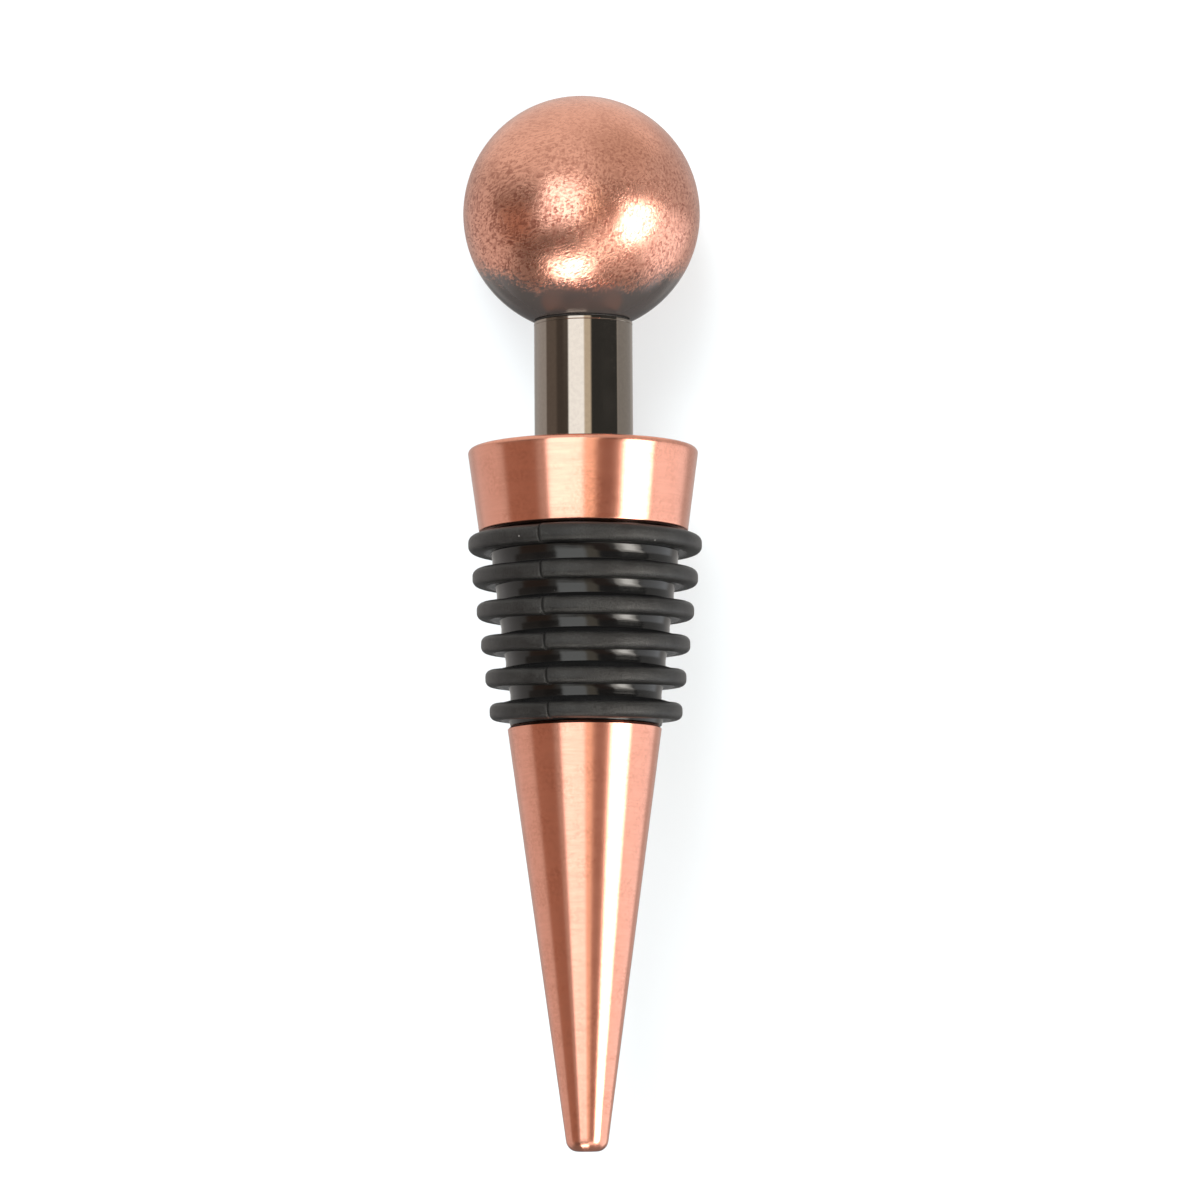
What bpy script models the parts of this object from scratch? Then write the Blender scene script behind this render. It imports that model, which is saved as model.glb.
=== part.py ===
"""Ball-top bottle stopper: turned pieces stacked on one threaded stud.

From the top the stack is a ball knob, a thin washer, a neck tube, a collar, a ribbed rubber sleeve
on its metal core, and a long solid cone. The stud screws into the cone and the ball, and draws
them together.

Lengths are in metres. +Z runs up the stopper's axis towards the ball, and z = 0 is the collar's
underside.
"""

from math import sin, sqrt, tan

import bpy
from mathutils import Vector

# How finely the round shapes are cut.
AROUND = 48
SPHERE_RINGS = 24
ARC_STEPS = 3
MERGE_DISTANCE = 0.00001

# Fits between the pieces.
SEAT_GAP = 0.0001
WASHER_GAP = 0.00005
THREAD_CLEARANCE = 0.00005
BORE_CLEARANCE = 0.0002

# Stud with an M6 thread, drawn as a plain rod of the thread's outer diameter.
STUD_RADIUS = 0.003
STUD_CHAMFER = 0.0005
STUD_IN_BALL = 0.009
STUD_IN_CONE = 0.011
TAPPED_RADIUS = STUD_RADIUS + THREAD_CLEARANCE
BORE_RADIUS = STUD_RADIUS + BORE_CLEARANCE
DRILL_SPARE = 0.001
DRILL_POINT = 0.0018

# Collar: a disc whose rim tapers inwards towards the bottle.
COLLAR_HEIGHT = 0.00845
COLLAR_TOP_RADIUS = 0.01170
COLLAR_BOTTOM_RADIUS = 0.01053
COLLAR_TOP_ROUNDING = 0.0005
COLLAR_BOTTOM_ROUNDING = 0.0002

# Neck tube, standing on the collar.
NECK_RADIUS = 0.00498
NECK_TOP = 0.02138
NECK_ROUNDING = 0.0002
NECK_SEAT_DEPTH = 0.0003
NECK_SEAT_CLEARANCE = 0.00015

# Washer between the neck and the ball.
WASHER_RADIUS = 0.00475
WASHER_THICKNESS = 0.0001

# Ball with a flat turned on its underside, which seats on the washer.
BALL_RADIUS = 0.012
BALL_FLAT_RADIUS = 0.005

# Rubber sleeve: evenly spaced ribs that get smaller towards the cone, with grooves between them.
RIB_COUNT = 6
RIB_PITCH = 0.00338
RIB_THICKNESS = 0.00175
RIB_ROUNDING = 0.00065
FIRST_RIB_DEPTH = 0.0013
FIRST_RIB_RADIUS = 0.01178
LAST_RIB_RADIUS = 0.0097
FIRST_GROOVE_RADIUS = 0.00935
LAST_GROOVE_RADIUS = 0.0076

# Core tube inside the sleeve.
CORE_RADIUS = 0.005

# Solid cone below the sleeve.
CONE_TOP_DEPTH = 0.0197
CONE_TIP_DEPTH = 0.0622
CONE_TOP_RADIUS = 0.00774
CONE_TIP_RADIUS = 0.00203
CONE_RIM_BEVEL = 0.00025
CONE_TIP_ROUNDING = 0.0012

# Heights that follow from the stack.
WASHER_BOTTOM = NECK_TOP + WASHER_GAP
BALL_FLAT_HEIGHT = WASHER_BOTTOM + WASHER_THICKNESS + WASHER_GAP
BALL_CENTRE_HEIGHT = BALL_FLAT_HEIGHT + sqrt(BALL_RADIUS**2 - BALL_FLAT_RADIUS**2)


def clear_scene():
    """Remove every object, so that only the stopper is left at the end."""
    for item in list(bpy.data.objects):
        bpy.data.objects.remove(item)


def new_collection(name):
    """Add an empty collection to the scene."""
    collection = bpy.data.collections.new(name)
    bpy.context.scene.collection.children.link(collection)
    return collection


def finish(name, colour, roughness, metallic):
    """Make a plain surface finish: colour is red, green and blue from 0 to 1."""
    material = bpy.data.materials.new(name)
    material.use_nodes = True
    shader = material.node_tree.nodes["Principled BSDF"]
    shader.inputs["Base Color"].default_value = (*colour, 1.0)
    shader.inputs["Roughness"].default_value = roughness
    shader.inputs["Metallic"].default_value = metallic
    return material


def rounded_corner(before, corner, after, radius):
    """Points of the arc that touches both sides of a corner, or the corner itself if sharp."""
    if radius == 0:
        return [corner]
    to_before = (before - corner).normalized()
    to_after = (after - corner).normalized()
    half_angle = to_before.angle(to_after) / 2
    reach = radius / tan(half_angle)
    centre = corner + (to_before + to_after).normalized() * (radius / sin(half_angle))
    first = (corner + to_before * reach - centre).normalized()
    last = (corner + to_after * reach - centre).normalized()
    return [centre + first.slerp(last, step / ARC_STEPS) * radius for step in range(ARC_STEPS + 1)]


def rounded_outline(corners):
    """Turn corners (radius, height, rounding) into outline points with their arcs filled in."""
    places = [Vector((radius, height)) for radius, height, _ in corners]
    points = []
    for index, (_, _, rounding) in enumerate(corners):
        before = places[index - 1]
        after = places[(index + 1) % len(places)]
        points += rounded_corner(before, places[index], after, rounding)
    return points


def turned_piece(name, corners, height, is_ring):
    """Turn an outline about Z, going down the outer side. A ring's outline closes on itself."""
    points = rounded_outline(corners)
    edges = [(index, index + 1) for index in range(len(points) - 1)]
    if is_ring:
        edges.append((len(points) - 1, 0))
    mesh = bpy.data.meshes.new(name)
    mesh.from_pydata([(point.x, 0, point.y) for point in points], edges, [])
    piece = bpy.data.objects.new(name, mesh)
    piece.location.z = height
    turn = piece.modifiers.new("Turn", "SCREW")
    turn.axis = "Z"
    turn.steps = AROUND
    turn.render_steps = AROUND
    turn.use_merge_vertices = True
    turn.merge_threshold = MERGE_DISTANCE
    turn.use_smooth_shade = True
    return piece


def tube(name, outer, inner, bottom, length, rounding):
    """A straight tube standing on its own origin, with its outer edges rounded."""
    corners = [
        (outer, length, rounding),
        (outer, 0, rounding),
        (inner, 0, 0),
        (inner, length, 0),
    ]
    return turned_piece(name, corners, bottom, is_ring=True)


def add_piece(piece, collection, stack, material):
    """Put a piece in its collection, on the stack's axis, in its own finish."""
    collection.objects.link(piece)
    piece.parent = stack
    piece.data.materials.append(material)


def add_cutter(cutter, collection):
    """Put a cutter in its own collection, as a guide that isn't part of the stopper."""
    collection.objects.link(cutter)
    cutter.hide_render = True
    cutter.display_type = "WIRE"


def cut(piece, cutter):
    """Cut one closed shape out of a piece."""
    boolean = piece.modifiers.new(cutter.name, "BOOLEAN")
    boolean.operation = "DIFFERENCE"
    boolean.object = cutter


def take_primitive(name):
    """Name the primitive that was just made, and take it out of the default collection."""
    primitive = bpy.context.object
    primitive.name = name
    primitive.data.name = name
    for collection in list(primitive.users_collection):
        collection.objects.unlink(primitive)
    return primitive


def make_ball_knob(parts, cutters, stack):
    """The ball: a sphere with a flat faced on its underside and a blind tapped hole."""
    bpy.ops.mesh.primitive_uv_sphere_add(
        segments=AROUND,
        ring_count=SPHERE_RINGS,
        radius=BALL_RADIUS,
        location=(0, 0, BALL_CENTRE_HEIGHT),
    )
    ball = take_primitive("ball_knob")
    ball.data.shade_smooth()
    add_piece(ball, parts, stack, finish("satin_copper_ball", (0.62, 0.30, 0.20), 0.33, 1.0))

    bpy.ops.mesh.primitive_cylinder_add(
        vertices=AROUND,
        radius=BALL_RADIUS,
        depth=BALL_RADIUS,
        location=(0, 0, BALL_FLAT_HEIGHT - BALL_RADIUS / 2),
    )
    facing_tool = take_primitive("ball_facing_tool")
    add_cutter(facing_tool, cutters)
    cut(ball, facing_tool)

    depth = STUD_IN_BALL + DRILL_SPARE
    drill = turned_piece(
        "ball_drill",
        [
            (0, depth + DRILL_POINT, 0),
            (TAPPED_RADIUS, depth, 0),
            (TAPPED_RADIUS, -BALL_RADIUS, 0),
            (0, -BALL_RADIUS, 0),
        ],
        BALL_FLAT_HEIGHT,
        is_ring=False,
    )
    add_cutter(drill, cutters)
    cut(ball, drill)


def make_knob_washer(parts, stack):
    """The thin black washer that the ball is tightened against."""
    washer = tube(
        "knob_washer", WASHER_RADIUS, BORE_RADIUS, WASHER_BOTTOM, WASHER_THICKNESS, rounding=0
    )
    add_piece(washer, parts, stack, finish("black_fibre", (0.015, 0.013, 0.012), 0.6, 0.0))


def make_neck_tube(parts, stack):
    """The polished spacer between the collar and the ball. Its foot stands in the collar's seat."""
    bottom = COLLAR_HEIGHT - NECK_SEAT_DEPTH + SEAT_GAP
    neck = tube(
        "neck_tube", NECK_RADIUS, BORE_RADIUS, bottom, NECK_TOP - bottom, NECK_ROUNDING
    )
    add_piece(neck, parts, stack, finish("black_nickel", (0.10, 0.085, 0.08), 0.12, 1.0))


def make_collar(parts, stack):
    """The copper disc that closes the sleeve's upper end, with a shallow seat for the neck."""
    seat_radius = NECK_RADIUS + NECK_SEAT_CLEARANCE
    seat_height = COLLAR_HEIGHT - NECK_SEAT_DEPTH
    collar = turned_piece(
        "collar",
        [
            (COLLAR_TOP_RADIUS, COLLAR_HEIGHT, COLLAR_TOP_ROUNDING),
            (COLLAR_BOTTOM_RADIUS, 0, COLLAR_BOTTOM_ROUNDING),
            (BORE_RADIUS, 0, 0),
            (BORE_RADIUS, seat_height, 0),
            (seat_radius, seat_height, 0),
            (seat_radius, COLLAR_HEIGHT, 0),
        ],
        0,
        is_ring=True,
    )
    add_piece(collar, parts, stack, finish("satin_copper_collar", (0.60, 0.29, 0.19), 0.3, 1.0))


def step_between(first, last, index, count):
    """The value at one of count even steps from first to last."""
    return first + (last - first) * index / (count - 1)


def make_ribbed_sleeve(parts, stack):
    """The rubber sleeve: six round-edged ribs down its outside, and a plain bore."""
    length = CONE_TOP_DEPTH - 2 * SEAT_GAP
    corners = [(FIRST_GROOVE_RADIUS, 0, 0)]
    for rib in range(RIB_COUNT):
        radius = step_between(FIRST_RIB_RADIUS, LAST_RIB_RADIUS, rib, RIB_COUNT)
        middle = SEAT_GAP - FIRST_RIB_DEPTH - rib * RIB_PITCH
        top = middle + RIB_THICKNESS / 2
        bottom = middle - RIB_THICKNESS / 2
        groove_below = min(rib, RIB_COUNT - 2)
        groove = step_between(
            FIRST_GROOVE_RADIUS, LAST_GROOVE_RADIUS, groove_below, RIB_COUNT - 1
        )
        corners.append((corners[-1][0], top, 0))
        corners.append((radius, top, RIB_ROUNDING))
        corners.append((radius, bottom, RIB_ROUNDING))
        corners.append((groove, bottom, 0))
    corners.append((LAST_GROOVE_RADIUS, -length, 0))
    corners.append((CORE_RADIUS + SEAT_GAP, -length, 0))
    corners.append((CORE_RADIUS + SEAT_GAP, 0, 0))
    sleeve = turned_piece("ribbed_sleeve", corners, -SEAT_GAP, is_ring=True)
    add_piece(sleeve, parts, stack, finish("black_rubber", (0.02, 0.02, 0.021), 0.5, 0.0))


def make_sleeve_core(parts, stack):
    """The tube inside the sleeve that keeps collar and cone apart."""
    length = CONE_TOP_DEPTH - 2 * SEAT_GAP
    core = tube(
        "sleeve_core", CORE_RADIUS, BORE_RADIUS, SEAT_GAP - CONE_TOP_DEPTH, length, rounding=0
    )
    add_piece(core, parts, stack, finish("plain_steel_core", (0.55, 0.55, 0.56), 0.4, 1.0))


def make_lower_cone(parts, stack):
    """The solid cone, with a blind tapped hole in its top for the stud."""
    length = CONE_TIP_DEPTH - CONE_TOP_DEPTH
    hole = STUD_IN_CONE + DRILL_SPARE
    cone = turned_piece(
        "lower_cone",
        [
            (0, -hole - DRILL_POINT, 0),
            (TAPPED_RADIUS, -hole, 0),
            (TAPPED_RADIUS, 0, 0),
            (CONE_TOP_RADIUS - CONE_RIM_BEVEL, 0, 0),
            (CONE_TOP_RADIUS, -CONE_RIM_BEVEL, 0),
            (CONE_TIP_RADIUS, -length, CONE_TIP_ROUNDING),
            (0, -length, 0),
        ],
        -CONE_TOP_DEPTH,
        is_ring=False,
    )
    add_piece(cone, parts, stack, finish("satin_copper_cone", (0.60, 0.29, 0.19), 0.28, 1.0))


def make_tie_stud(parts, stack):
    """The threaded rod that holds the stack together, from inside the cone to inside the ball."""
    top = BALL_FLAT_HEIGHT + STUD_IN_BALL
    bottom = -CONE_TOP_DEPTH - STUD_IN_CONE
    bpy.ops.mesh.primitive_cylinder_add(
        vertices=AROUND,
        radius=STUD_RADIUS,
        depth=top - bottom,
        location=(0, 0, (top + bottom) / 2),
    )
    stud = take_primitive("tie_stud")
    chamfer = stud.modifiers.new("End chamfers", "BEVEL")
    chamfer.width = STUD_CHAMFER
    chamfer.segments = 1
    chamfer.limit_method = "ANGLE"
    stud.data.shade_smooth()
    add_piece(stud, parts, stack, finish("plain_steel_stud", (0.58, 0.58, 0.60), 0.35, 1.0))


def main():
    """Build the stopper from the ball down to the cone."""
    clear_scene()
    parts = new_collection("bottle_stopper")
    cutters = new_collection("cutters")
    stack = bpy.data.objects.new("stack_axis", None)
    parts.objects.link(stack)
    make_ball_knob(parts, cutters, stack)
    make_knob_washer(parts, stack)
    make_neck_tube(parts, stack)
    make_collar(parts, stack)
    make_ribbed_sleeve(parts, stack)
    make_sleeve_core(parts, stack)
    make_lower_cone(parts, stack)
    make_tie_stud(parts, stack)


main()
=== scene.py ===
"""Looks of a ball-top bottle stopper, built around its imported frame.

Every piece is a surface carried around the stopper's axis, so the script works in radius, height
and angle. Angles around the axis are measured from the front (-Y) towards +X. Lengths are metres,
and z = 0 is the collar's underside.
"""

import logging
from collections.abc import Sequence
from dataclasses import dataclass
from enum import Enum
from math import cos, pi, radians, sin, sqrt, tan

import bpy
import numpy as np
from mathutils import Matrix, Quaternion, Vector

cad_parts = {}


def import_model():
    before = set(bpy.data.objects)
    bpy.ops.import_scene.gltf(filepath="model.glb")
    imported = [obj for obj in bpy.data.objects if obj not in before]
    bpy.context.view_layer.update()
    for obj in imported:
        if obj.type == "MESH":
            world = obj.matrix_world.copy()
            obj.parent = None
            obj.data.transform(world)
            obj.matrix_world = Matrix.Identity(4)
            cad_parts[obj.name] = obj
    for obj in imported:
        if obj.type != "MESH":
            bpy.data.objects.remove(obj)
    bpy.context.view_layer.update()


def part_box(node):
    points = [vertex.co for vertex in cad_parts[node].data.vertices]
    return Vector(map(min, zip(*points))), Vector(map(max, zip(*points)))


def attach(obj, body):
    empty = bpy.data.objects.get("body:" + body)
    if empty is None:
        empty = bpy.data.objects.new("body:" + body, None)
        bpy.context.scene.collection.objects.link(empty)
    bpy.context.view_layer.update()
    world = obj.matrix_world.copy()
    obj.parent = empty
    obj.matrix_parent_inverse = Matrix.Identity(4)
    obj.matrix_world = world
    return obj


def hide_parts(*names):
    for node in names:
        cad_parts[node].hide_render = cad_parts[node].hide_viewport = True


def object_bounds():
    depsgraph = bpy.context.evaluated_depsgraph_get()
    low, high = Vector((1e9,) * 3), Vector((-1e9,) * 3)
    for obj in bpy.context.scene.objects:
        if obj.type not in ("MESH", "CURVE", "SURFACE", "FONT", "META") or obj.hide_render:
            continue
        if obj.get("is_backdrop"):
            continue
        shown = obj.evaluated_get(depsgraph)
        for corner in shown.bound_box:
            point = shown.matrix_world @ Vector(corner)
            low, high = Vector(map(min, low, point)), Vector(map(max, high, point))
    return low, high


LOG = logging.getLogger("bottle_stopper")

MM = 0.001
FULL_TURN = 2 * pi
QUARTER_TURN = 0.25
FRONT = -pi / 2
UV_NAME = "lathe"
UV_SPAN = 0.1
SHARP_ANGLE = radians(35)
HAIRLINE = 0.02 * MM
LATITUDE = "latitude"
# The rubbed attribute holds where the ball's painted shade begins, lower at the sides.
SHADE_REACH = "rubbed"
RIB = "rib"
PARTING = "parting"

Corner = tuple[float, float, float]
Colour = tuple[float, float, float]
Socket = bpy.types.NodeSocket
Number = Socket | float
Value = Number | Sequence[float]


class Body(Enum):
    """The rigid bodies that pieces ride on."""

    STEM = "stem"
    WASHER = "washer"
    KNOB = "knob"


class Slot(Enum):
    """The record's material slots."""

    BALL = "brushed_copper_ball"
    TURNED_COPPER = "turned_copper"
    NICKEL = "black_nickel"
    RUBBER = "black_rubber"
    FIBRE = "black_fibre"
    STEEL = "plain_steel"


# ---------------- surfaces around the axis


@dataclass(frozen=True)
class Extent:
    """A turned node's outer radius and its lowest and highest points."""

    radius: float
    bottom: float
    top: float

    @classmethod
    def of(cls, node: str) -> "Extent":
        """Read a node's extent from the frame."""
        low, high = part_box(node)
        return cls(radius=high.x, bottom=low.z, top=high.z)


def corner_arc(before: np.ndarray, corner: np.ndarray, after: np.ndarray, rounding: float,
               steps: int) -> np.ndarray:
    """Round one corner of an outline with an arc that touches both of its sides.

    The arc's centre is on the corner's bisector at rounding / sin(half angle), and its ends are
    rounding / tan(half angle) from the corner.

    Args:
        before: The previous corner.
        corner: The corner to round.
        after: The next corner.
        rounding: The arc's radius, or 0 for a sharp corner.
        steps: Straight steps in the arc.

    Returns:
        Rows of radius and height.
    """
    if rounding == 0:
        return corner[None, :]
    to_before = (before - corner) / np.linalg.norm(before - corner)
    to_after = (after - corner) / np.linalg.norm(after - corner)
    half = np.arccos(np.clip(to_before @ to_after, -1, 1)) / 2
    bisector = (to_before + to_after) / np.linalg.norm(to_before + to_after)
    centre = corner + bisector * rounding / sin(half)
    first = corner + to_before * rounding / tan(half) - centre
    last = corner + to_after * rounding / tan(half) - centre
    sweep = pi - 2 * half
    share = np.linspace(0, 1, steps + 1)[:, None]
    return centre + (np.sin((1 - share) * sweep) * first + np.sin(share * sweep) * last) / sin(sweep)


def rounded_outline(corners: Sequence[Corner], spacing: float, is_ring: bool,
                    steps: int = 8) -> np.ndarray:
    """Fill in an outline's round corners and divide its straight runs.

    Args:
        corners: Radius, height and rounding of each corner, going down the outer side.
        spacing: The longest straight step that is left undivided.
        is_ring: Whether the outline closes on itself, as a tube's does.
        steps: Straight steps in each rounded corner.

    Returns:
        Rows of radius and height.
    """
    places = np.array([corner[:2] for corner in corners])
    arcs = [
        corner_arc(places[index - 1], places[index], places[(index + 1) % len(places)],
                   corner[2], steps)
        for index, corner in enumerate(corners)
    ]
    points = np.concatenate(arcs)
    ends = np.roll(points, -1, axis=0) if is_ring else points[1:]
    runs = []
    for start, end in zip(points, ends):
        pieces = max(1, round(float(np.linalg.norm(end - start)) / spacing))
        runs.append(start + (end - start) * (np.arange(pieces) / pieces)[:, None])
    if not is_ring:
        runs.append(points[-1:])
    return np.concatenate(runs)


def even_angles(around: int) -> np.ndarray:
    """Angles of evenly spaced rows around the axis, starting at the back."""
    return FRONT - pi + np.arange(around) * FULL_TURN / around


def surface(name: str, angle: np.ndarray, radius: np.ndarray, height: np.ndarray,
            is_ring: bool) -> bpy.types.Object:
    """Join a grid of points around the axis into one closed surface.

    Row i, column j is at x = radius * cos(angle), y = radius * sin(angle), z = height. Rows go once
    around the axis and columns down the outer side. A column on the axis is a single point. The UV
    map holds the share of a full turn, and the length along the outline divided by UV_SPAN.

    Args:
        name: The piece's name.
        angle: One angle per row.
        radius: Distance from the axis, by row and column.
        height: Height, by row and column.
        is_ring: Whether the last column joins the first, as in a tube.

    Returns:
        The new object, in the scene.
    """
    rows, columns = radius.shape
    points = np.stack([radius * np.cos(angle)[:, None], radius * np.sin(angle)[:, None], height], -1)
    index = np.arange(rows * columns).reshape(rows, columns)
    on_axis = radius.max(axis=0) == 0
    index[:, on_axis] = index[:1, on_axis]
    row_next = np.roll(index, -1, axis=0)
    last = columns if is_ring else columns - 1
    beside = np.roll(index, -1, axis=1)[:, :last]
    beside_next = np.roll(row_next, -1, axis=1)[:, :last]
    quads = np.stack([index[:, :last], beside, beside_next, row_next[:, :last]], -1).reshape(-1, 4)

    step = np.roll(radius, -1, axis=1) - radius, np.roll(height, -1, axis=1) - height
    length = np.cumsum(np.hypot(*step).mean(axis=0)) / UV_SPAN
    along = np.concatenate([[0], length])
    turn = np.arange(rows + 1) / rows
    low, high = along[:-1][:last], along[1:][:last]
    corner_u = np.stack([turn[:-1], turn[:-1], turn[1:], turn[1:]], -1)[:, None, :]
    corner_v = np.stack([low, high, high, low], -1)[None, :, :]
    uvs = np.stack(np.broadcast_arrays(corner_u, corner_v), -1).reshape(-1, 4, 2)

    keep = np.ones(quads.shape, bool)
    keep[:, 3] = quads[:, 3] != quads[:, 0]
    keep[:, 2] = quads[:, 2] != quads[:, 1]
    used, renumbered = np.unique(quads[keep], return_inverse=True)
    sizes = keep.sum(axis=1)

    mesh = bpy.data.meshes.new(name)
    mesh.vertices.add(len(used))
    mesh.vertices.foreach_set("co", points.reshape(-1, 3)[used].astype(np.float32).ravel())
    mesh.loops.add(len(renumbered))
    mesh.loops.foreach_set("vertex_index", renumbered.astype(np.int32).ravel())
    mesh.polygons.add(len(sizes))
    starts = np.concatenate([[0], np.cumsum(sizes)[:-1]])
    mesh.polygons.foreach_set("loop_start", starts.astype(np.int32))
    mesh.update(calc_edges=True)
    mesh.uv_layers.new(name=UV_NAME).data.foreach_set("uv", uvs[keep].astype(np.float32).ravel())
    mesh.validate()
    mesh.shade_smooth()
    mesh.set_sharp_from_angle(angle=SHARP_ANGLE)
    piece = bpy.data.objects.new(name, mesh)
    bpy.context.scene.collection.objects.link(piece)
    return piece


def carried_around(name: str, outline: np.ndarray, is_ring: bool,
                   around: int) -> bpy.types.Object:
    """Carry one finished outline, given as rows of radius and height, evenly around the axis."""
    shape = (around, len(outline))
    radius, height = (np.broadcast_to(outline[:, part], shape) for part in (0, 1))
    return surface(name, even_angles(around), radius, height, is_ring)


def turned(name: str, corners: Sequence[Corner], is_ring: bool, around: int,
           spacing: float) -> bpy.types.Object:
    """Turn one outline all the way around the axis.

    Args:
        name: The piece's name.
        corners: Radius, height and rounding of each corner, going down the outer side.
        is_ring: Whether the outline closes on itself.
        around: Rows around the axis.
        spacing: The longest straight step along the outline.

    Returns:
        The new object, in the scene.
    """
    return carried_around(name, rounded_outline(corners, spacing, is_ring), is_ring, around)


def tube_corners(outer: float, bore: float, bottom: float, top: float,
                 rounding: float) -> list[Corner]:
    """List the corners of a plain tube, whose outer edges are rounded."""
    return [(outer, top, rounding), (outer, bottom, rounding), (bore, bottom, 0), (bore, top, 0)]


def vertex_places(piece: bpy.types.Object) -> np.ndarray:
    """Read a piece's vertices as rows of x, y, z."""
    places = np.empty(len(piece.data.vertices) * 3, np.float32)
    piece.data.vertices.foreach_get("co", places)
    return places.reshape(-1, 3)


def store_values(piece: bpy.types.Object, name: str, values: np.ndarray) -> None:
    """Store one number per vertex, for a finish to read by name."""
    attribute = piece.data.attributes.new(name, "FLOAT", "POINT")
    attribute.data.foreach_set("value", values.astype(np.float32))


def moved_aside(piece: bpy.types.Object, distance: float) -> bpy.types.Object:
    """Set a piece's mesh a little off the axis towards +X, within the play of its bore."""
    piece.data.transform(Matrix.Translation((distance, 0, 0)))
    return piece


def smooth_step(value: np.ndarray) -> np.ndarray:
    """Rise smoothly from 0 to 1 as the value does: 3 v^2 - 2 v^3, held flat outside."""
    held = np.clip(value, 0, 1)
    return held * held * (3 - 2 * held)


# ---------------- shader building


class Nodes:
    """Adds shader nodes to one tree and links them, so that finishes read as formulas."""

    def __init__(self, tree: bpy.types.NodeTree) -> None:
        """Work in one node tree."""
        self.tree = tree

    def feed(self, target: Socket, value: Value) -> None:
        """Link a socket, or set a plain value, on an input."""
        if isinstance(value, bpy.types.NodeSocket):
            self.tree.links.new(value, target)
        elif target.type == "RGBA" and not isinstance(value, (int, float)):
            target.default_value = (*value, 1.0)
        else:
            target.default_value = value

    def add(self, kind: str, feeds: "dict[str | int, Value] | None" = None,
            **settings: object) -> bpy.types.Node:
        """Add a node of a kind, with its settings and with what feeds its inputs."""
        node = self.tree.nodes.new(kind)
        for name, setting in settings.items():
            setattr(node, name, setting)
        for key, value in (feeds or {}).items():
            self.feed(node.inputs[key], value)
        return node

    def math(self, operation: str, *values: Number, clamp: bool = False) -> Socket:
        """One arithmetic step on numbers."""
        feeds = dict(enumerate(values))
        return self.add("ShaderNodeMath", feeds, operation=operation, use_clamp=clamp).outputs[0]

    def times(self, value: Number, factor: Number, plus: Number = 0.0,
              clamp: bool = False) -> Socket:
        """Work out value x factor + plus."""
        return self.math("MULTIPLY_ADD", value, factor, plus, clamp=clamp)

    def ramp(self, value: Number, low: Number, high: Number, to_low: Number = 0.0,
             to_high: Number = 1.0) -> Socket:
        """Map low..high smoothly onto to_low..to_high."""
        feeds = dict(enumerate((value, low, high, to_low, to_high)))
        return self.add("ShaderNodeMapRange", feeds, interpolation_type="SMOOTHSTEP").outputs[0]

    def blend(self, share: Number, first: Value, second: Value) -> Socket:
        """Mix two colours by a share from 0 to 1."""
        return self.add("ShaderNodeMix", {0: share, 6: first, 7: second}, data_type="RGBA").outputs[2]

    def noise(self, place: Socket, scale: Number, detail: float = 2.0,
              roughness: float = 0.5) -> Socket:
        """Cloudy values around one half."""
        feeds = {"Vector": place, "Scale": scale, "Detail": detail, "Roughness": roughness}
        return self.add("ShaderNodeTexNoise", feeds).outputs["Fac"]

    def place_mm(self) -> Socket:
        """The point on the piece, in millimetres."""
        feeds = {0: self.add("ShaderNodeTexCoord").outputs["Object"], "Scale": 1 / MM}
        return self.add("ShaderNodeVectorMath", feeds, operation="SCALE").outputs["Vector"]

    def stretched(self, place: Socket, turn: Colour, scale: Colour) -> Socket:
        """Turn a place and then scale it, so that a pattern read there is stretched."""
        feeds = {"Vector": place, "Rotation": turn, "Scale": tuple(1 / part for part in scale)}
        return self.add("ShaderNodeMapping", feeds, vector_type="TEXTURE").outputs["Vector"]

    def stored(self, name: str) -> Socket:
        """The number that the piece stores at each point under a name."""
        return self.add("ShaderNodeAttribute", attribute_name=name).outputs["Fac"]

    def bump(self, height: Socket, depth: float, normal: "Socket | None" = None) -> Socket:
        """Tilt the surface normal by a height from 0 to 1 that stands for depth in metres."""
        feeds: dict[str, Value] = {"Strength": 1.0, "Distance": depth, "Height": height}
        if normal is not None:
            feeds["Normal"] = normal
        return self.add("ShaderNodeBump", feeds).outputs["Normal"]

    def group(self, tree: bpy.types.NodeTree, **values: Number) -> bpy.types.Node:
        """Place a node group, with its inputs by name. An underscore stands for a space."""
        feeds = {name.replace("_", " "): value for name, value in values.items()}
        return self.add("ShaderNodeGroup", feeds, node_tree=tree)


class Group(Nodes):
    """A shader node group that takes and gives plain numbers."""

    def __init__(self, name: str, inputs: dict[str, float], outputs: Sequence[str]) -> None:
        """Start a group.

        Args:
            name: The group's name.
            inputs: Input names with their usual values.
            outputs: Output names.
        """
        super().__init__(bpy.data.node_groups.new(name, "ShaderNodeTree"))
        new_socket = self.tree.interface.new_socket
        for label, value in inputs.items():
            socket = new_socket(label, in_out="INPUT", socket_type="NodeSocketFloat")
            socket.default_value = value
        for label in outputs:
            new_socket(label, in_out="OUTPUT", socket_type="NodeSocketFloat")
        self.given = self.add("NodeGroupInput").outputs
        self.out = self.add("NodeGroupOutput").inputs


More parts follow.
